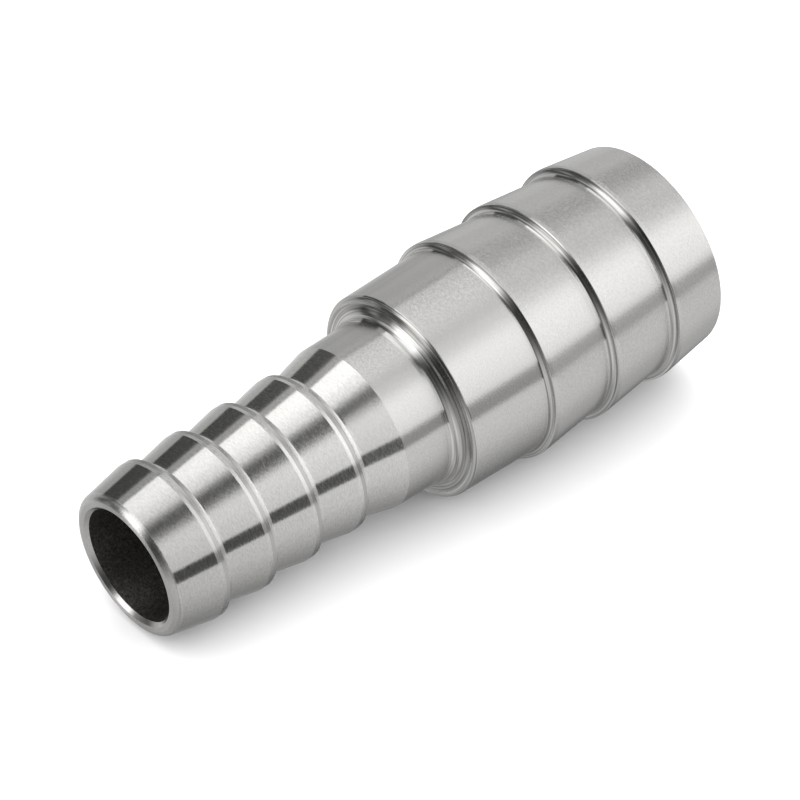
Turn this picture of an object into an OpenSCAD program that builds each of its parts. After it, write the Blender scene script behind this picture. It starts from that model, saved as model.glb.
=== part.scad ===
// Hose barb reducer, turned from one bar of stainless steel.
// It stands on its large end: z = 0 is that end's face, and the bore runs along Z.
// Lengths are in millimetres.

/* [Small end] */
// Diameter over the ridges of the small end, for a 13 mm (1/2 in) hose
small_ridge_d = 14.3; // [13:0.1:16]
// Height of a small ridge over the root of its barb
small_barb_h = 0.8; // [0.5:0.05:1.1]
// Number of barbs on the small end
small_barbs = 4; // [2:1:6]
// Length of one small barb
small_pitch = 4.75; // [3.5:0.05:7]
// Length of the cylindrical land on top of a small ridge
small_land = 0.55; // [0.2:0.05:0.8]
// Wall between the small bore and the root of the small barbs
small_wall = 1.25; // [0.9:0.05:1.8]

/* [Neck] */
// Length of the polished taper behind the innermost small ridge
taper_len = 4.2; // [2.5:0.1:8]
// Diameter where the polished taper meets the neck
taper_d = 14.8; // [13.8:0.1:15.5]
// Length of the neck, from the polished taper to the shoulder face
neck_len = 5.4; // [3:0.1:15]
// Diameter of the neck at the shoulder
neck_d = 15; // [14:0.1:15.8]

/* [Large end] */
// Diameter over the ridges of the large end, for a 19 mm (3/4 in) hose
large_ridge_d = 20.3; // [19:0.1:24]
// Height of a large ridge over the root of its barb
large_barb_h = 0.7; // [0.4:0.05:1]
// Number of barbs on the large end
large_barbs = 3; // [1:1:5]
// Distance from one large ridge to the next
large_pitch = 6.95; // [5:0.05:10]
// Length of the cylindrical land on top of a large ridge
large_land = 0.35; // [0.2:0.05:0.8]
// Length of the outermost large barb, from its ridge to the end face
tail_len = 5.7; // [4:0.1:10]
// Drop in radius from the outermost large ridge to the end
tail_drop = 0.7; // [0.4:0.05:1]
// Wall between the large bore and the root of the large barbs
large_wall = 1.7; // [1:0.05:2.2]

/* [Collar] */
// Length of the collar between the shoulder and the innermost large ridge
collar_len = 8.2; // [4:0.1:16]
// Depth of the collar below the ridge beside it
collar_step = 0.6; // [0.3:0.05:0.8]
// Drop in radius along the collar, from that ridge to the shoulder
collar_drop = 0.2; // [0:0.05:0.5]

/* [Edges and bore ends] */
// Radius on the outer edge of each small ridge
small_edge = 0.1; // [0.05:0.05:0.3]
// Fillet at the foot of each small ridge
small_fillet = 0.7; // [0.1:0.05:0.8]
// Radius on the outer edge of each large ridge
large_edge = 0.2; // [0.1:0.05:0.3]
// Fillet at the foot of each large ridge
large_fillet = 0.5; // [0.1:0.05:0.6]
// Radius on the outer edge of the shoulder
shoulder_edge = 0.3; // [0.1:0.05:0.5]
// Fillet between the neck and the shoulder
shoulder_fillet = 1.2; // [0.2:0.05:1.5]
// Radius on the outer edge of the small end
nose_edge = 0.6; // [0.1:0.05:0.8]
// Radius on the outer edge of the large end
tail_edge = 0.35; // [0.1:0.05:0.5]
// Chamfer at the mouth of the small bore
small_mouth = 0.3; // [0.1:0.02:0.4]
// Chamfer at the mouth of the large bore
large_mouth = 0.4; // [0.1:0.05:0.7]
// Distance from the shoulder face back to the end of the large bore
bore_setback = 2.9; // [2.5:0.1:6]
// Half angle of the cone between the two bores
bore_cone_angle = 45; // [40:1:60]

/* [Hidden] */
$fn = 128;

// Steps along each rounded edge or fillet of the outline
arc_steps = 6;
// How far a cutting shape reaches past the face it opens
past = 1;

small_ridge_r = small_ridge_d / 2;
small_root_r = small_ridge_r - small_barb_h;
small_bore_r = small_root_r - small_wall;
large_ridge_r = large_ridge_d / 2;
large_root_r = large_ridge_r - large_barb_h;
large_bore_r = large_root_r - large_wall;
tail_r = large_ridge_r - tail_drop;
collar_r = large_ridge_r - collar_step;
shoulder_r = collar_r - collar_drop;

// Heights of the step faces above the large end's face
collar_z = tail_len + (large_barbs - 1) * large_pitch;
shoulder_z = collar_z + collar_len;
taper_z = shoulder_z + neck_len;
small_z = taper_z + taper_len;
nose_z = small_z + small_barbs * small_pitch;

// Radius on the small end's outer edge, held to a share of the flat face it leaves
nose_r = min(nose_edge, (small_wall - small_mouth) * 0.75);

large_bore_z = shoulder_z - bore_setback;
small_bore_z = large_bore_z + (large_bore_r - small_bore_r) / tan(bore_cone_angle);

// Points of an arc about [r, z], from one angle to another
function arc(r, z, radius, from, to) = [
    for (i = [0:arc_steps])
        let (a = from + (to - from) * i / arc_steps)
            [r + radius * cos(a), z + radius * sin(a)]
];

// An edge radius or fillet, held to its share of a low step
function held(radius, step) = min(radius, step * 0.48);

// Step at height z that faces up: rounded edge, flat face, then the fillet at its foot
function step_up(z, outer, inner, edge, fillet) =
    let (e = held(edge, outer - inner), f = min(fillet, outer - inner - e))
        concat(
            arc(outer - e, z - e, e, 0, 90),
            arc(inner + f, z + f, f, 270, 180)
        );

// Step at height z that faces down: fillet, flat face, then the rounded edge
function step_down(z, inner, outer, edge, fillet) =
    let (e = held(edge, outer - inner), f = min(fillet, outer - inner - e))
        concat(
            arc(inner + f, z - f, f, 180, 90),
            arc(outer - e, z + e, e, 270, 360)
        );

// Large barb number k, counted up from the end face: taper, land and step
function large_barb(k) =
    let (
        z = tail_len + k * large_pitch,
        above = k < large_barbs - 1 ? large_root_r : collar_r,
        e = held(large_edge, large_ridge_r - above)
    )
        concat(
            [[large_ridge_r, z - e - large_land]],
            step_up(z, large_ridge_r, above, large_edge, large_fillet)
        );

// Small barb number k, counted up from the neck: step, land and the foot of its taper
function small_barb(k) =
    let (
        z = small_z + k * small_pitch,
        e = held(small_edge, small_barb_h)
    )
        concat(
            step_down(z, small_root_r, small_ridge_r, small_edge, small_fillet),
            [[small_ridge_r, z + e + small_land]]
        );

// Outer outline as [radius, height], from the axis at the large end to the axis at the nose
outline = concat(
    [[0, 0]],
    arc(tail_r - tail_edge, tail_edge, tail_edge, 270, 360),
    [for (k = [0:large_barbs - 1]) each large_barb(k)],
    step_up(shoulder_z, shoulder_r, neck_d / 2, shoulder_edge, shoulder_fillet),
    [[taper_d / 2, taper_z]],
    [for (k = [0:small_barbs - 1]) each small_barb(k)],
    arc(small_root_r - nose_r, nose_z - nose_r, nose_r, 0, 90),
    [[0, nose_z]]
);

// Outline of the through bore: wide from the large end, narrow from the small one
bore_outline = [
    [0, -past],
    [large_bore_r + large_mouth + past, -past],
    [large_bore_r, large_mouth],
    [large_bore_r, large_bore_z],
    [small_bore_r, small_bore_z],
    [small_bore_r, nose_z - small_mouth],
    [small_bore_r + small_mouth + past, nose_z + past],
    [0, nose_z + past]
];

// The turned bar, still solid
module turned_bar() {
    rotate_extrude()
        polygon(outline);
}

// What the drills and the boring bar take out
module through_bore() {
    rotate_extrude()
        polygon(bore_outline);
}

// The whole fitting
module reducer() {
    color("silver")
        difference() {
            turned_bar();
            through_bore();
        }
}

reducer();
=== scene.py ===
# Hose barb reducer: one turned piece of stainless steel, with its finishes, a pale floor and studio light.
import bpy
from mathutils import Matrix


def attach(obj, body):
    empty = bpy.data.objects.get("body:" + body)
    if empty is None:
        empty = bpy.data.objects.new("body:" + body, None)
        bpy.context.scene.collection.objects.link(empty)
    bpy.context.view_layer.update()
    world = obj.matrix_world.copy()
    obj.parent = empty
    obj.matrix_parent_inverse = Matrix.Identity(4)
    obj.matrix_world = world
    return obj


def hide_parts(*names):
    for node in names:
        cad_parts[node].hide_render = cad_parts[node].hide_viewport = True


bl_info = {
    "name": "Hose Barb Reducer",
    "version": (1, 0, 0),
    "blender": (4, 5, 0),
    "location": "3D View > Sidebar > Reducer",
    "description": "Turns a steel hose reducer, gives it its finishes and sets it in a studio",
    "category": "Object",
}

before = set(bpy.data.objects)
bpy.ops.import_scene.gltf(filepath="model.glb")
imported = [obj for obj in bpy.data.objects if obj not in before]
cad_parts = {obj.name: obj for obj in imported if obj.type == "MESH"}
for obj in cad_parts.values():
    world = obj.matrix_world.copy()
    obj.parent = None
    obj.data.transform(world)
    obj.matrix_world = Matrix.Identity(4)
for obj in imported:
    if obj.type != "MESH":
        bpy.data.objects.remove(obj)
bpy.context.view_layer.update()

from math import ceil, cos, pi, radians, sin, tan

import bmesh
import bpy
from mathutils import Matrix, Quaternion, Vector

NODE = "reducer"
BODY = "root"
MM = 0.001


# Settings that a user may change

def length(name, description, millimetres):
    """A size in millimetres, shown by Blender in its own length unit."""
    return bpy.props.FloatProperty(
        name=name, description=description, default=millimetres * MM, min=0.0, unit="LENGTH",
        subtype="DISTANCE")


def angle(name, description, degrees):
    """An angle in degrees, shown by Blender in its own angle unit."""
    return bpy.props.FloatProperty(
        name=name, description=description, default=radians(degrees), unit="ROTATION", subtype="ANGLE")


def linear_colour(code):
    """Linear RGB of an sRGB hex code such as #C8C6C2."""
    parts = [int(code[i:i + 2], 16) / 255 for i in (1, 3, 5)]
    return tuple(c / 12.92 if c <= 0.04045 else ((c + 0.055) / 1.055) ** 2.4 for c in parts)


def colour(name, description, code):
    """A colour given as an sRGB hex code."""
    return bpy.props.FloatVectorProperty(
        name=name, description=description, default=linear_colour(code), min=0.0, max=1.0, subtype="COLOR")


class SmallEndSizes(bpy.types.PropertyGroup):
    """Sizes of the small end and the neck"""
    ridge_d: length("Ridge diameter", "Diameter over the small ridges", 14.3)
    barb_h: length("Barb height", "Height of a small ridge over the root of its barb", 0.8)
    barbs: bpy.props.IntProperty(name="Barbs", description="Number of small barbs", default=4, min=1, max=6)
    pitch: length("Pitch", "Length of one small barb", 4.75)
    land: length("Land", "Length of the cylindrical land on a small ridge", 0.55)
    band: length("Ridge band", "Length of the unpolished band at the edge of each small ridge", 0.33)
    wall: length("Wall", "Wall between the small bore and the root of the barbs", 1.25)
    taper_len: length("Taper length", "Length of the polished taper behind the innermost ridge", 4.2)
    taper_d: length("Taper diameter", "Diameter where the polished taper meets the neck", 14.8)
    neck_len: length("Neck length", "Length of the neck up to the shoulder face", 5.4)
    neck_d: length("Neck diameter", "Diameter of the neck at the shoulder", 15.0)
    edge: length("Ridge edge", "Radius on the outer edge of each small ridge", 0.1)
    fillet: length("Ridge fillet", "Fillet at the foot of each small ridge", 0.7)
    nose_edge: length("Nose edge", "Radius on the outer edge of the small end", 0.6)
    mouth: length("Mouth chamfer", "Chamfer at the mouth of the small bore", 0.3)


class LargeEndSizes(bpy.types.PropertyGroup):
    """Sizes of the large end, the collar and the bore between the ends"""
    ridge_d: length("Ridge diameter", "Diameter over the large ridges", 20.3)
    barb_h: length("Barb height", "Height of a large ridge over the root of its barb", 0.7)
    barbs: bpy.props.IntProperty(name="Barbs", description="Number of large barbs", default=3, min=1, max=5)
    pitch: length("Pitch", "Distance from one large ridge to the next", 6.95)
    land: length("Land", "Length of the cylindrical land on a large ridge", 0.35)
    tail_len: length("Tail length", "Length of the outermost large barb", 5.7)
    tail_drop: length("Tail drop", "Drop in radius from the outermost ridge to the end", 0.7)
    wall: length("Wall", "Wall between the large bore and the root of the barbs", 1.7)
    collar_len: length("Collar length", "Length of the collar behind the shoulder", 8.2)
    collar_step: length("Collar step", "Depth of the collar below the ridge beside it", 0.6)
    collar_drop: length("Collar drop", "Drop in radius along the collar", 0.2)
    edge: length("Ridge edge", "Radius on the outer edge of each large ridge", 0.1)
    fillet: length("Ridge fillet", "Fillet at the foot of each large ridge", 0.6)
    shoulder_edge: length("Shoulder edge", "Radius on the outer edge of the shoulder", 0.3)
    shoulder_fillet: length("Shoulder fillet", "Fillet between the neck and the shoulder", 1.2)
    tail_edge: length("Tail edge", "Radius on the outer edge of the large end", 0.35)
    mouth: length("Mouth chamfer", "Chamfer at the mouth of the large bore", 0.4)
    bore_setback: length("Bore setback", "Distance from the shoulder face to the end of the large bore", 2.9)
    bore_cone: angle("Bore cone", "Half angle of the cone between the bores", 45)


class FinishSettings(bpy.types.PropertyGroup):
    """Colours and tool marks of the turned steel"""
    polished: colour("Polished", "Colour of the polished barbs of the small end", "#C9C8C6")
    ridge: colour("Ridge", "Colour of the narrow turned bands on the small ridges", "#B4B3B1")
    satin: colour("Satin", "Colour of the fine-brushed neck and large end", "#C7C6C4")
    faced: colour("Faced", "Colour of the faced shoulder and ridge steps", "#C6C5C3")
    # The bore's colour is darker than the outer steel's. Part of this is its dull finish, and part is painted
    # shade of the bore.
    bored: colour("Bored", "Colour of the dull steel inside the bore", "#9A9894")
    polished_mark: length("Polishing mark", "Spacing of the marks round the polished barbs", 0.08)
    satin_mark: length("Brushing mark", "Spacing of the marks round the satin steel", 0.09)
    facing_mark: length("Facing mark", "Spacing of the tool marks on the shoulder face", 0.18)
    boring_mark: length("Boring mark", "Spacing of the marks inside the bore", 0.15)


class StudioSettings(bpy.types.PropertyGroup):
    """Camera, paper and light"""
    lens: bpy.props.FloatProperty(
        name="Lens", description="Focal length of the camera in millimetres", default=180.0, unit="CAMERA")
    distance: length("Distance", "Distance from the camera to the bore axis", 328.3)
    aim_height: length("Aim height", "Height on the bore axis that the camera looks at", 27.85)
    aim_side: length("Aim side", "Distance from the bore axis to the line of sight, to its left", 0.19)
    camera_height: angle("Camera height", "Angle of the camera above the horizon", 27.65)
    camera_roll: angle("Camera roll", "Turn of the camera about its own view", -121.885)
    wall_side: angle("Wall side", "Azimuth that the wall behind the fitting faces", 41)
    paper: colour("Paper", "Colour of the floor and wall, before the light bleaches them", "#898989")
    paper_light: bpy.props.FloatProperty(
        name="Paper light", description="Strength of the soft light on the paper", default=21.0, min=0.0)
    panels: bpy.props.FloatProperty(
        name="Panels", description="Strength of the panels that the steel mirrors", default=3.0, min=0.0)


# Outline of the turned piece

# An edge radius or fillet takes up to this share of a low step
STEP_SHARE = 0.48
# The nose's rounding takes up to this share of the wall beside the mouth
NOSE_SHARE = 0.75


def held(radius, step):
    """An edge radius or fillet, held to its share of a low step."""
    return min(radius, step * STEP_SHARE)


def held_nose_edge(small):
    """The nose's rounding, held to its share of the wall beside the mouth."""
    return min(small.nose_edge, (small.wall - small.mouth) * NOSE_SHARE)


def key_heights(small, large):
    """Heights above the large end's face where one part of the outline ends and the next starts."""
    collar = large.tail_len + (large.barbs - 1) * large.pitch
    shoulder = collar + large.collar_len
    taper = shoulder + small.neck_len
    small_barbs = taper + small.taper_len
    nose = small_barbs + small.barbs * small.pitch
    return {"shoulder": shoulder, "taper": taper, "small_barbs": small_barbs, "nose": nose,
            "nose_ring": nose - held_nose_edge(small)}


def large_end_corners(small, large, heights):
    """Corners from the large end's rim up to the shoulder's foot."""
    ridge = large.ridge_d / 2
    root = ridge - large.barb_h
    collar = ridge - large.collar_step
    corners = [(ridge - large.tail_drop, 0.0, large.tail_edge)]
    for k in range(large.barbs):
        z = large.tail_len + k * large.pitch
        above = root if k < large.barbs - 1 else collar
        edge = held(large.edge, ridge - above)
        corners.append((ridge, z - edge - large.land, 0.0))
        corners.append((ridge, z, edge))
        corners.append((above, z, min(large.fillet, ridge - above - edge)))
    corners.append((collar - large.collar_drop, heights["shoulder"], large.shoulder_edge))
    corners.append((small.neck_d / 2, heights["shoulder"], large.shoulder_fillet))
    return corners


def small_end_corners(small, heights):
    """Corners from the foot of the polished taper up to the nose."""
    ridge = small.ridge_d / 2
    root = ridge - small.barb_h
    edge = held(small.edge, small.barb_h)
    corners = [(small.taper_d / 2, heights["taper"], 0.0)]
    for k in range(small.barbs):
        z = heights["small_barbs"] + k * small.pitch
        corners.append((root, z, min(small.fillet, small.barb_h - edge)))
        corners.append((ridge, z, edge))
        corners.append((ridge, z + small.band, 0.0))
        corners.append((ridge, z + edge + small.land, 0.0))
    corners.append((root, heights["nose"], held_nose_edge(small)))
    return corners


def bore_corners(small, large, heights):
    """Corners from the small bore's mouth down to the large bore's mouth."""
    narrow = small.ridge_d / 2 - small.barb_h - small.wall
    wide = large.ridge_d / 2 - large.barb_h - large.wall
    wide_end = heights["shoulder"] - large.bore_setback
    narrow_end = wide_end + (wide - narrow) / tan(large.bore_cone)
    places = [(narrow + small.mouth, heights["nose"]), (narrow, heights["nose"] - small.mouth),
              (narrow, narrow_end), (wide, wide_end), (wide, large.mouth), (wide + large.mouth, 0.0)]
    return [(radius, z, 0.0) for radius, z in places]


def turned_outline(small, large, heights):
    """Corners of the half section as (radius, height, rounding), from the large end's rim to its bore."""
    return (large_end_corners(small, large, heights) + small_end_corners(small, heights)
            + bore_corners(small, large, heights))


# Mesh of the turned piece

# Segments of each rounded corner, and steps of the full turn
ROUND_SEGMENTS = 8
SPIN_STEPS = 192
# Longest stretch of the outline without a ring of points
LONGEST_RING = 0.9 * MM
# Width of the narrow ring beside each corner, which keeps the smooth shading of the long faces exact
CORNER_RING = 0.03 * MM
# A stretch of the outline shorter than this many narrow rings is left whole
LEAST_RINGS = 4
# Points closer than this are one point
SAME_POINT = 1e-7


def round_corners(bm, verts, corners):
    """Rounds the corners of the flat section. The bevel is given how far it slides along the edges, which is
    worked out from the radius and the corner's angle."""
    places = [vert.co.copy() for vert in verts]
    for i, vert in enumerate(verts):
        radius = corners[i][2]
        if radius <= 0.0:
            continue
        before = places[i - 1] - places[i]
        after = places[(i + 1) % len(places)] - places[i]
        slide = radius / tan(before.angle(after) / 2)
        bmesh.ops.bevel(bm, geom=[vert], offset=slide, offset_type="OFFSET", affect="VERTICES",
                        segments=ROUND_SEGMENTS, profile=0.5, material=-1, clamp_overlap=False)


def add_rings(bm):
    """Splits the long edges of the outline: a narrow stretch at each corner, and even ones between."""
    for edge in list(bm.edges):
        span = edge.calc_length()
        if span < LEAST_RINGS * CORNER_RING:
            continue
        for end in list(edge.verts):
            bmesh.utils.edge_split(edge, end, CORNER_RING / edge.calc_length())
        cuts = ceil(span / LONGEST_RING) - 1
        if cuts > 0:
            bmesh.ops.subdivide_edges(bm, edges=[edge], cuts=cuts)


def turned_mesh(corners):
    """A closed mesh: the section's outline, spun round the Z axis."""
    bm = bmesh.new()
    verts = [bm.verts.new((corner[0], 0, corner[1])) for corner in corners]
    bm.faces.new(verts)
    round_corners(bm, verts, corners)
    bmesh.ops.delete(bm, geom=list(bm.faces), context="FACES_ONLY")
    add_rings(bm)
    bmesh.ops.spin(bm, geom=list(bm.verts) + list(bm.edges), axis=(0, 0, 1), cent=(0, 0, 0),
                   dvec=(0, 0, 0), angle=2 * pi, steps=SPIN_STEPS, use_merge=True, use_duplicate=False)
    bmesh.ops.remove_doubles(bm, verts=list(bm.verts), dist=SAME_POINT)
    bmesh.ops.recalc_face_normals(bm, faces=list(bm.faces))
    return bm


def finished_object(bm, name):
    """An object in the scene, made from a mesh that is no longer edited."""
    mesh = bpy.data.meshes.new(name)
    bm.to_mesh(mesh)
    bm.free()
    piece = bpy.data.objects.new(name, mesh)
    bpy.context.scene.collection.objects.link(piece)
    return piece


# Materials

# The noise that draws the marks lies almost wholly between these values
NOISE_LOW = 0.3
NOISE_HIGH = 0.7
# Turn of the tangent, in whole turns, that stretches the reflections along the axis
TANGENT_TURN = 0.25


def add_node(tree, kind, settings=None, links=None):
    """Adds a node: settings are its properties and socket values, links feed its sockets from other nodes."""
    node = tree.nodes.new(kind)
    for key, value in (settings or {}).items():
        if isinstance(key, str) and hasattr(node, key) and key not in node.inputs:
            setattr(node, key, value)
        else:
            node.inputs[key].default_value = value
    for key, source in (links or {}).items():
        tree.links.new(source, node.inputs[key])
    return node


def new_material(name):
    """An empty material and its node tree."""
    material = bpy.data.materials.new(name)
    material.use_nodes = True
    material.node_tree.nodes.clear()
    return material, material.node_tree


def turned_coordinates(tree, spacing, around_scale):
    """The height, a place that changes once every spacing along the axis and slowly round it, and the
    distance outwards in spacings."""
    place = add_node(tree, "ShaderNodeTexCoord")
    split = add_node(tree, "ShaderNodeSeparateXYZ", links={0: place.outputs["Object"]})
    flat = add_node(tree, "ShaderNodeCombineXYZ", links={"X": split.outputs["X"], "Y": split.outputs["Y"]})
    radius = add_node(tree, "ShaderNodeVectorMath", {"operation": "LENGTH"}, {0: flat.outputs[0]})
    along = add_node(tree, "ShaderNodeMath", {"operation": "DIVIDE", 1: spacing}, {0: split.outputs["Z"]})
    out = add_node(tree, "ShaderNodeMath", {"operation": "DIVIDE", 1: spacing}, {0: radius.outputs["Value"]})
    around = add_node(tree, "ShaderNodeVectorMath", {"operation": "NORMALIZE"}, {0: flat.outputs[0]})
    slow = add_node(tree, "ShaderNodeVectorMath", {"operation": "SCALE", "Scale": around_scale},
                    {0: around.outputs[0]})
    parts = add_node(tree, "ShaderNodeSeparateXYZ", links={0: slow.outputs[0]})
    joined = add_node(tree, "ShaderNodeCombineXYZ",
                      links={"X": parts.outputs["X"], "Y": parts.outputs["Y"], "Z": along.outputs[0]})
    return split.outputs["Z"], joined.outputs[0], out.outputs[0]


def steel(name, base, look, spacing):
    """Turned steel: marks round the axis stretch the reflections along it. Roughness and tone fade from one
    height to another, and the marks vary both and groove the surface. Where the tone fades with height, the
    fade is painted shade and light, not the steel's own colour."""
    material, tree = new_material(name)
    height, rings, outward = turned_coordinates(tree, spacing, look["around"])
    marks = add_node(tree, "ShaderNodeTexNoise",
                     {"noise_dimensions": "4D", "Scale": 1.0, "Detail": 2.0, "Roughness": 0.5},
                     {"Vector": rings, "W": outward})
    fade = add_node(tree, "ShaderNodeMapRange",
                    {"From Min": look["from_height"], "From Max": look["to_height"],
                     "To Min": look["from_rough"], "To Max": look["to_rough"]}, {"Value": height})
    uneven = add_node(tree, "ShaderNodeMapRange",
                      {"From Min": NOISE_LOW, "From Max": NOISE_HIGH,
                       "To Min": -look["spread"], "To Max": look["spread"]}, {"Value": marks.outputs[0]})
    rough = add_node(tree, "ShaderNodeMath", {"operation": "ADD"},
                     {0: fade.outputs[0], 1: uneven.outputs[0]})
    groove = add_node(tree, "ShaderNodeBump", {"Strength": 1.0, "Distance": look["depth"]},
                      {"Height": marks.outputs[0]})
    across = add_node(tree, "ShaderNodeTangent", {"direction_type": "RADIAL", "axis": "Z"})
    light = add_node(tree, "ShaderNodeMapRange",
                     {"From Min": NOISE_LOW, "From Max": NOISE_HIGH,
                      "To Min": 1 - look["grain"], "To Max": 1 + look["grain"]}, {"Value": marks.outputs[0]})
    # Tone by height: where it fades, it is painted shade and light, not a colour of the steel.
    tone = add_node(tree, "ShaderNodeMapRange",
                    {"From Min": look["from_height"], "From Max": look["to_height"],
                     "To Min": look["from_tone_and_shade"], "To Max": look["to_tone_and_shade"]}, {"Value": height})
    shade = add_node(tree, "ShaderNodeMath", {"operation": "MULTIPLY"},
                     {0: light.outputs[0], 1: tone.outputs[0]})
    grain = add_node(tree, "ShaderNodeVectorMath", {"operation": "SCALE", 0: base},
                     {"Scale": shade.outputs[0]})
    shader = add_node(tree, "ShaderNodeBsdfPrincipled",
                      {"Metallic": 1.0, "Anisotropic": look["stretch"], "Anisotropic Rotation": TANGENT_TURN},
                      {"Base Color": grain.outputs[0], "Roughness": rough.outputs[0],
                       "Normal": groove.outputs[0], "Tangent": across.outputs[0]})
    add_node(tree, "ShaderNodeOutputMaterial", links={"Surface": shader.outputs[0]})
    return material


# Slot of each finish on the piece
POLISHED, SATIN, FACED, BORED, RIDGE = range(5)
# A face is the bore's when it looks at the axis, and a step's when it leans this far up or down
TOWARD_AXIS = -0.9
LEANS_UP = 0.25
LEANS_DOWN = -0.9


def polished_steel(finish, heights):
    """Stainless barbs polished on the lathe: crisp dark and bright bands run along them. The nose is painted
    a little darker and the taper a little lighter, as painted shade and painted light. Real polishing marks
    are a few hundredths of a millimetre apart, too fine to show, so they are drawn coarser and show as a
    sandy shimmer."""
    # The tone from 0.8 at the nose to 1.08 at the taper is painted shade and painted light, not a colour of
    # the steel.
    look = {"around": 24.0, "from_height": heights["nose"], "to_height": heights["taper"],
            "from_rough": 0.135, "to_rough": 0.17, "from_tone_and_shade": 0.8, "to_tone_and_shade": 1.08, "spread": 0.04,
            "depth": 0.003 * MM, "grain": 0.12, "stretch": 0.87}
    return steel("polished turned steel", finish.polished, look, finish.polished_mark)


def even_look(heights, around, rough, tone, spread, depth, grain, stretch):
    """A look that is the same at every height; depth is that of the marks, in millimetres."""
    return {"around": around, "from_height": heights["nose"], "to_height": heights["taper"],
            "from_rough": rough, "to_rough": rough, "from_tone_and_shade": tone, "to_tone_and_shade": tone, "spread": spread,
            "depth": depth * MM, "grain": grain, "stretch": stretch}


def satin_steel(finish, heights):
    """Stainless neck and large end brushed with fine cloth: soft pale bands with a quiet mottle. The brushing
    marks are drawn coarser than the real ones, so that they show."""
    look = even_look(heights, around=50.0, rough=0.22, tone=1.0, spread=0.04, depth=0.004, grain=0.1,
                     stretch=0.95)
    return steel("fine-brushed steel", finish.satin, look, finish.satin_mark)


def faced_steel(finish, heights):
    """Shoulder and ridge steps faced with a pointed tool: glossy rings, each a little lighter or darker."""
    look = even_look(heights, around=0.9, rough=0.12, tone=0.92, spread=0.04, depth=0.018, grain=0.55,
                     stretch=0.95)
    return steel("faced steel", finish.faced, look, finish.facing_mark)


def bored_steel(finish, heights):
    """Bore left dull from the drill. It is coloured darker than the outer steel, and part of that darkness is
    painted shade of the bore. It darkens quickly behind the mouth, with a faint speckle.
    """
    look = even_look(heights, around=30.0, rough=0.38, tone=1.0, spread=0.08, depth=0.02, grain=0.5,
                     stretch=0.3)
    return steel("bored steel", finish.bored, look, finish.boring_mark)


def ridge_steel(finish, heights):
    """Narrow band that the polishing left out at each small ridge: a frosted line between bright ones."""
    look = even_look(heights, around=8.0, rough=0.26, tone=1.0, spread=0.04, depth=0.004, grain=0.06,
                     stretch=0.95)
    return steel("turned ridge steel", finish.ridge, look, finish.satin_mark)


def finish_number(normal, centre, heights, bands):
    """The slot of the finish that a face has."""
    radius = (centre.x ** 2 + centre.y ** 2) ** 0.5
    outward = (normal.x * centre.x + normal.y * centre.y) / radius
    if outward < TOWARD_AXIS:
        return BORED
    if centre.z > heights["nose_ring"]:
        return SATIN
    if normal.z > LEANS_UP or normal.z < LEANS_DOWN:
        return FACED
    if any(low < centre.z < high for low, high in bands):
        return RIDGE
    return POLISHED if centre.z > heights["taper"] else SATIN


class REDUCER_OT_turn_fitting(bpy.types.Operator):
    """Turn the fitting from its outline and give each surface its finish"""
    bl_idname = "reducer.turn_fitting"
    bl_label = "Turn the fitting"

    def execute(self, context):
        scene = context.scene
        small, large = scene.reducer_small, scene.reducer_large
        heights = key_heights(small, large)
        bm = turned_mesh(turned_outline(small, large, heights))
        bm.normal_update()
        feet = [heights["small_barbs"] + k * small.pitch for k in range(small.barbs)]
        bands = [(foot, foot + small.band) for foot in feet]
        for face in bm.faces:
            face.smooth = True
            face.material_index = finish_number(face.normal, face.calc_center_median(), heights, bands)
        piece = finished_object(bm, "turned_reducer")
        for make in (polished_steel, satin_steel, faced_steel, bored_steel, ridge_steel):
            piece.data.materials.append(make(scene.reducer_finish, heights))
        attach(piece, BODY)
        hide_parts(NODE)
        return {"FINISHED"}


# Light on the steel

# Greys round the fitting for seven tiers of height, from straight down to straight up. Each stop is
# (doubled angle in degrees, grey). The doubled angle is twice the one round the fitting's axis at which the
# camera sees that direction mirrored, so a panel's edge stays at one angle on every cone, fillet and face.

# What the large barbs and the collar mirror
LOW_GREYS = [(-180, 0.25), (-158, 0.24), (-138, 0.20), (-118, 0.21), (-98, 0.27), (-78, 0.28), (-66, 0.26),
             (-61, 0.22), (-58, 0.19), (-48, 0.22), (-43, 0.38), (-36, 0.45), (-24, 0.48), (-8, 0.51),
             (4, 0.47), (12, 0.37), (22, 0.30), (32, 0.28), (42, 0.29), (52, 0.26), (62, 0.19), (72, 0.16),
             (82, 0.19), (92, 0.26), (112, 0.24), (132, 0.28), (142, 0.33), (162, 0.50), (180, 0.50)]
# What the neck mirrors
NECK_GREYS = [(-180, 0.07), (-158, 0.06), (-148, 0.07), (-138, 0.10), (-128, 0.13), (-118, 0.17),
              (-108, 0.22), (-98, 0.27), (-78, 0.33), (-66, 0.35), (-62, 0.32), (-59, 0.21), (-47, 0.25),
              (-43, 0.42), (-36, 0.50), (-24, 0.58), (-8, 0.62), (4, 0.62), (12, 0.74), (22, 0.70),
              (32, 0.52), (42, 0.29), (62, 0.21), (72, 0.17), (82, 0.13), (92, 0.20), (102, 0.29),
              (122, 0.28), (142, 0.16), (155, 0.20), (180, 0.28)]
# What the small barbs mirror: pale panels with three dark gaps between them
SIDE_GREYS = [(-180, 0.11), (-160, 0.11), (-138, 0.15), (-117, 0.21), (-85, 0.30), (-62, 0.32),
              (-60.5, 0.05), (-56, 0.035), (-44, 0.03), (-41.5, 0.34), (-8, 0.41), (1, 0.38), (5.5, 0.27),
              (11.5, 0.08), (17, 0.05), (25, 0.055), (30, 0.10), (36, 0.24), (42, 0.41), (52, 0.49),
              (62, 0.57), (72, 0.60), (84.5, 0.58), (86.5, 0.19), (97, 0.18), (100, 0.06), (104, 0.035),
              (133, 0.03), (136, 0.19), (150, 0.20), (162, 0.23), (180, 0.26)]
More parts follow.
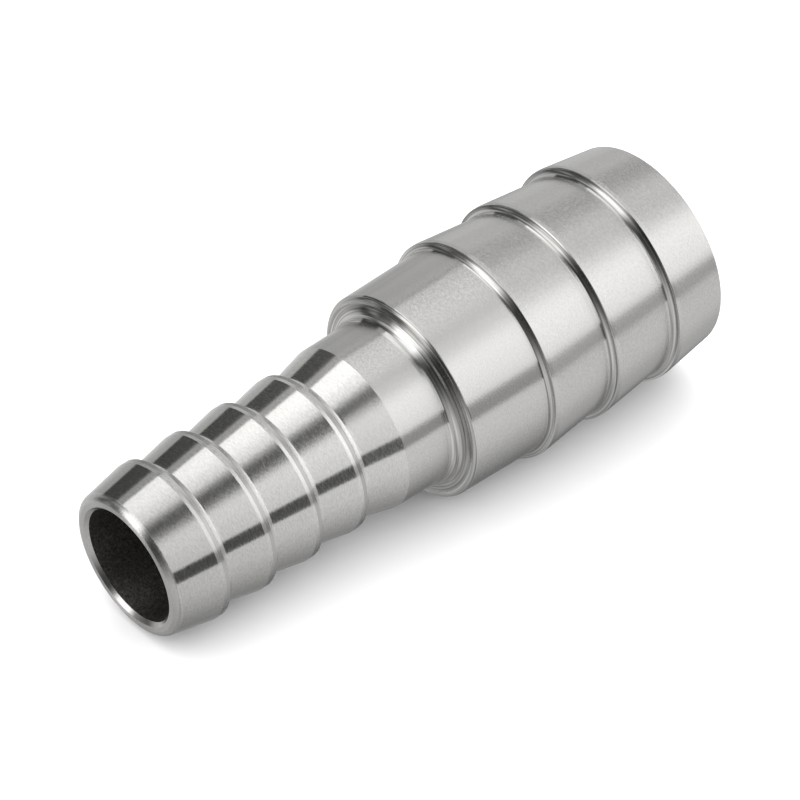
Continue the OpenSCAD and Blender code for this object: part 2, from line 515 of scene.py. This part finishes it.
# What the long taper mirrors: the same gaps, the middle one narrower and paler
TAPER_GREYS = [(-180, 0.11), (-160, 0.11), (-138, 0.15), (-117, 0.21), (-85, 0.29), (-62, 0.31),
               (-60.5, 0.08), (-56, 0.06), (-44, 0.05), (-41.5, 0.33), (-30, 0.38), (-8, 0.47), (6, 0.48),
               (13, 0.42), (18, 0.18), (23, 0.10), (29, 0.10), (34, 0.18), (40, 0.32), (50, 0.40),
               (62, 0.47), (72, 0.52), (84.5, 0.52), (86.5, 0.19), (97, 0.18), (100, 0.06), (104, 0.035),
               (133, 0.03), (136, 0.19), (150, 0.20), (162, 0.23), (180, 0.26)]
# What the lower half of each fillet mirrors
HIGH_GREYS = [(-180, 0.16), (-120, 0.12), (-100, 0.13), (-80, 0.16), (-60, 0.16), (-50, 0.10), (-40, 0.06),
              (-30, 0.04), (-20, 0.03), (-10, 0.02), (14, 0.02), (22, 0.03), (30, 0.10), (36, 0.34),
              (42, 0.50), (60, 0.52), (68, 0.34), (76, 0.12), (84, 0.05), (104, 0.03), (112, 0.06),
              (120, 0.11), (150, 0.19), (180, 0.25)]
# What the upper half of each fillet mirrors
FACE_GREYS = [(-180, 0.14), (-124, 0.19), (-96, 0.23), (-70, 0.26), (-58, 0.25), (-46, 0.20), (-35, 0.15),
              (-23, 0.08), (-11, 0.05), (4, 0.03), (20, 0.04), (28, 0.10), (34, 0.30), (42, 0.56),
              (60, 0.60), (70, 0.52), (80, 0.30), (90, 0.20), (97, 0.16), (109, 0.06), (124, 0.03),
              (140, 0.04), (150, 0.12), (180, 0.25)]
# What the flat faces of the steps mirror
TOP_GREYS = [(-180, 0.20), (-120, 0.18), (-100, 0.20), (-80, 0.22), (-60, 0.22), (-50, 0.18), (-40, 0.14),
             (-30, 0.09), (-20, 0.05), (-10, 0.03), (10, 0.02), (20, 0.06), (27, 0.14), (33, 0.32),
             (40, 0.62), (60, 0.70), (72, 0.64), (80, 0.32), (88, 0.08), (106, 0.04), (116, 0.12),
             (130, 0.18), (180, 0.25)]
# The tiers above the lowest: the height of direction where each starts, half its edge's width, its greys
TIERS = [(-0.55, 0.03, NECK_GREYS), (-0.39, 0.03, SIDE_GREYS), (0.0, 0.01, TAPER_GREYS),
         (0.11, 0.02, HIGH_GREYS), (0.36, 0.04, FACE_GREYS), (0.60, 0.05, TOP_GREYS)]
# Strength of the plain white that the camera sees past the paper
PLAIN_WHITE = 1.2
# Sockets of a mix of colours: the colour below, the colour above, and the mix
MIX_BELOW, MIX_ABOVE, MIXED = 6, 7, 2


def grey_ramp(tree, stops, factor):
    """A colour ramp of greys over the doubled angle, from half a turn one way to half a turn the other."""
    ramp = add_node(tree, "ShaderNodeValToRGB", links={0: factor})
    elements = ramp.color_ramp.elements
    while len(elements) > 1:
        elements.remove(elements[-1])
    for i, (doubled, grey) in enumerate(stops):
        place = (doubled + 180) / 360
        element = elements[0] if i == 0 else elements.new(place)
        element.position = place
        element.color = (grey, grey, grey, 1)
    return ramp.outputs[0]


def doubled_angle(tree, direction, camera_height):
    """The doubled angle of a direction, brought to the range from 0 to 1."""
    toward = add_node(tree, "ShaderNodeMath", {"operation": "MULTIPLY", 1: -1.0},
                      {0: direction.outputs["Y"]})
    shifted = add_node(tree, "ShaderNodeMath", {"operation": "ADD", 1: cos(camera_height)},
                       {0: toward.outputs[0]})
    half_turn = add_node(tree, "ShaderNodeMath", {"operation": "ARCTAN2"},
                         {0: direction.outputs["X"], 1: shifted.outputs[0]})
    turn = add_node(tree, "ShaderNodeMapRange", {"From Min": -pi / 2, "From Max": pi / 2},
                    {"Value": half_turn.outputs[0]})
    return turn.outputs[0]


def studio_world(scene, studio):
    """Soft panels and dark gaps all round, as a picture of directions. They light the steel only: the paper
    has a light of its own, and the camera itself sees plain white."""
    world = bpy.data.worlds.new("studio")
    scene.world = world
    world.use_nodes = True
    tree = world.node_tree
    tree.nodes.clear()
    place = add_node(tree, "ShaderNodeTexCoord")
    direction = add_node(tree, "ShaderNodeSeparateXYZ", links={0: place.outputs["Generated"]})
    turn = doubled_angle(tree, direction, studio.camera_height)
    greys = grey_ramp(tree, LOW_GREYS, turn)
    for start, soft, stops in TIERS:
        edge = {"From Min": start - soft, "From Max": start + soft, "interpolation_type": "SMOOTHSTEP"}
        above = add_node(tree, "ShaderNodeMapRange", edge, {"Value": direction.outputs["Z"]})
        mix = add_node(tree, "ShaderNodeMix", {"data_type": "RGBA"},
                       {"Factor": above.outputs[0], MIX_BELOW: greys,
                        MIX_ABOVE: grey_ramp(tree, stops, turn)})
        greys = mix.outputs[MIXED]
    path = add_node(tree, "ShaderNodeLightPath")
    fresh = add_node(tree, "ShaderNodeMath", {"operation": "SUBTRACT", "use_clamp": True, 0: 1.0},
                     {1: path.outputs["Diffuse Depth"]})
    strength = add_node(tree, "ShaderNodeMath", {"operation": "MULTIPLY", 1: studio.panels},
                        {0: fresh.outputs[0]})
    panels = add_node(tree, "ShaderNodeBackground", links={"Color": greys, "Strength": strength.outputs[0]})
    white = add_node(tree, "ShaderNodeBackground", {"Color": (1, 1, 1, 1), "Strength": PLAIN_WHITE})
    seen = add_node(tree, "ShaderNodeMixShader",
                    links={0: path.outputs["Is Camera Ray"], 1: panels.outputs[0], 2: white.outputs[0]})
    add_node(tree, "ShaderNodeOutputWorld", links={"Surface": seen.outputs[0]})


# Camera, floor and wall

# Nearest and farthest distance that the camera sees, in metres
NEAR, FAR = 0.01, 10.0
# Sides of the square floor and wall, in metres, and their squares each way
FLOOR_SIDE = 2.0
WALL_SIDE = 1.0
SHEET_SQUARES = 8
# Width of the soft light as the paper sees it: almost the whole half sphere
LIGHT_WIDTH = radians(170)


def studio_camera(scene, studio):
    """A camera that looks at the bore axis from above, rolled so that the fitting lies across the picture."""
    data = bpy.data.cameras.new("camera")
    data.lens = studio.lens
    data.clip_start = NEAR
    data.clip_end = FAR
    camera = bpy.data.objects.new("camera", data)
    scene.collection.objects.link(camera)
    back = Vector((0, -cos(studio.camera_height), sin(studio.camera_height)))
    camera.location = Vector((-studio.aim_side, 0, studio.aim_height)) + back * studio.distance
    level = back.to_track_quat("Z", "Y")
    camera.rotation_mode = "QUATERNION"
    camera.rotation_quaternion = level @ Quaternion((0, 0, 1), studio.camera_roll)
    scene.camera = camera


def plain_sheet(name, matrix, side):
    """A flat square sheet of the stage, which casts no shadow."""
    bm = bmesh.new()
    bmesh.ops.create_grid(bm, x_segments=SHEET_SQUARES, y_segments=SHEET_SQUARES, size=side / 2,
                          matrix=matrix)
    sheet = finished_object(bm, name)
    sheet.visible_shadow = False
    return sheet


def paper(name, base, glow, one_sided):
    """Matt paper, lit so brightly that it is white and only a contact shadow shows on it. Where it is
    one-sided, it is seen from the front only, and the steel's reflections pass through it to the panels."""
    material, tree = new_material(name)
    shader = add_node(tree, "ShaderNodeBsdfPrincipled",
                      {"Base Color": (*base, 1), "Roughness": 0.9, "Specular IOR Level": 0.0,
                       "Emission Color": (1, 1, 1, 1), "Emission Strength": glow})
    surface = shader.outputs[0]
    if one_sided:
        clear = add_node(tree, "ShaderNodeBsdfTransparent")
        side = add_node(tree, "ShaderNodeNewGeometry")
        path = add_node(tree, "ShaderNodeLightPath")
        fresh = add_node(tree, "ShaderNodeMath", {"operation": "SUBTRACT", "use_clamp": True},
                         {0: path.outputs["Is Glossy Ray"], 1: path.outputs["Diffuse Depth"]})
        unseen = add_node(tree, "ShaderNodeMath", {"operation": "MAXIMUM"},
                          {0: side.outputs["Backfacing"], 1: fresh.outputs[0]})
        mix = add_node(tree, "ShaderNodeMixShader",
                       links={0: unseen.outputs[0], 1: surface, 2: clear.outputs[0]})
        surface = mix.outputs[0]
    add_node(tree, "ShaderNodeOutputMaterial", links={"Surface": surface})
    return material


def paper_light(scene, name, direction, strength):
    """A broad soft light that only the paper takes, because the steel is lit by the panels."""
    data = bpy.data.lights.new(name, "SUN")
    data.energy = strength
    data.angle = LIGHT_WIDTH
    lamp = bpy.data.objects.new(name, data)
    scene.collection.objects.link(lamp)
    lamp.rotation_mode = "QUATERNION"
    lamp.rotation_quaternion = Vector(direction).to_track_quat("Z", "Y")
    lamp.visible_glossy = False
    lamp.visible_camera = False


def wall_place(small, large, studio, heights):
    """Place of the wall and the way it faces. It touches the fitting's back as a table would if the fitting
    lay on it: at the outermost large ridge and the outermost small one."""
    facing = Vector((sin(studio.wall_side), -cos(studio.wall_side), 0))
    rise = heights["nose"] - small.pitch - large.tail_len
    run = (large.ridge_d - small.ridge_d) / 2
    normal = (facing * rise - Vector((0, 0, run))).normalized()
    touch = Vector((0, 0, large.tail_len)) - facing * large.ridge_d / 2
    upward = (Vector((0, 0, 1)) - normal * normal.z).normalized()
    matrix = Matrix((upward.cross(normal), upward, normal)).transposed().to_4x4()
    matrix.translation = touch + upward * (WALL_SIDE / 2 - large.tail_len)
    return matrix, normal


class REDUCER_OT_set_stage(bpy.types.Operator):
    """Lay the pale floor and wall, hang the soft light and place the camera"""
    bl_idname = "reducer.set_stage"
    bl_label = "Set the stage"

    def execute(self, context):
        scene = context.scene
        small, large, studio = scene.reducer_small, scene.reducer_large, scene.reducer_studio
        scene.view_settings.view_transform = "Standard"
        studio_camera(scene, studio)
        studio_world(scene, studio)
        floor = plain_sheet("floor", Matrix.Identity(4), FLOOR_SIDE)
        floor.visible_glossy = False
        floor.visible_diffuse = False
        floor.data.materials.append(paper("floor paper", studio.paper, glow=1.0, one_sided=False))
        place, normal = wall_place(small, large, studio, key_heights(small, large))
        wall = plain_sheet("wall", place, WALL_SIDE)
        wall.data.materials.append(paper("wall paper", studio.paper, glow=0.0, one_sided=True))
        paper_light(scene, "wall light", normal, studio.paper_light)
        return {"FINISHED"}


class REDUCER_PT_panel(bpy.types.Panel):
    """Lists the settings and the steps of the build"""
    bl_idname = "REDUCER_PT_panel"
    bl_label = "Hose barb reducer"
    bl_space_type = "VIEW_3D"
    bl_region_type = "UI"
    bl_category = "Reducer"

    def draw(self, context):
        scene = context.scene
        for group in (scene.reducer_small, scene.reducer_large, scene.reducer_finish, scene.reducer_studio):
            box = self.layout.box()
            for key in group.__annotations__:
                box.prop(group, key)
        self.layout.operator(REDUCER_OT_turn_fitting.bl_idname)
        self.layout.operator(REDUCER_OT_set_stage.bl_idname)


CLASSES = (SmallEndSizes, LargeEndSizes, FinishSettings, StudioSettings, REDUCER_OT_turn_fitting,
           REDUCER_OT_set_stage, REDUCER_PT_panel)
GROUPS = {"reducer_small": SmallEndSizes, "reducer_large": LargeEndSizes, "reducer_finish": FinishSettings,
          "reducer_studio": StudioSettings}


def register():
    for cls in CLASSES:
        bpy.utils.register_class(cls)
    for name, group in GROUPS.items():
        setattr(bpy.types.Scene, name, bpy.props.PointerProperty(type=group))


def unregister():
    for name in GROUPS:
        delattr(bpy.types.Scene, name)
    for cls in reversed(CLASSES):
        bpy.utils.unregister_class(cls)


def main():
    register()
    bpy.ops.reducer.turn_fitting()
    bpy.ops.reducer.set_stage()


if __name__ == "__main__":
    main()
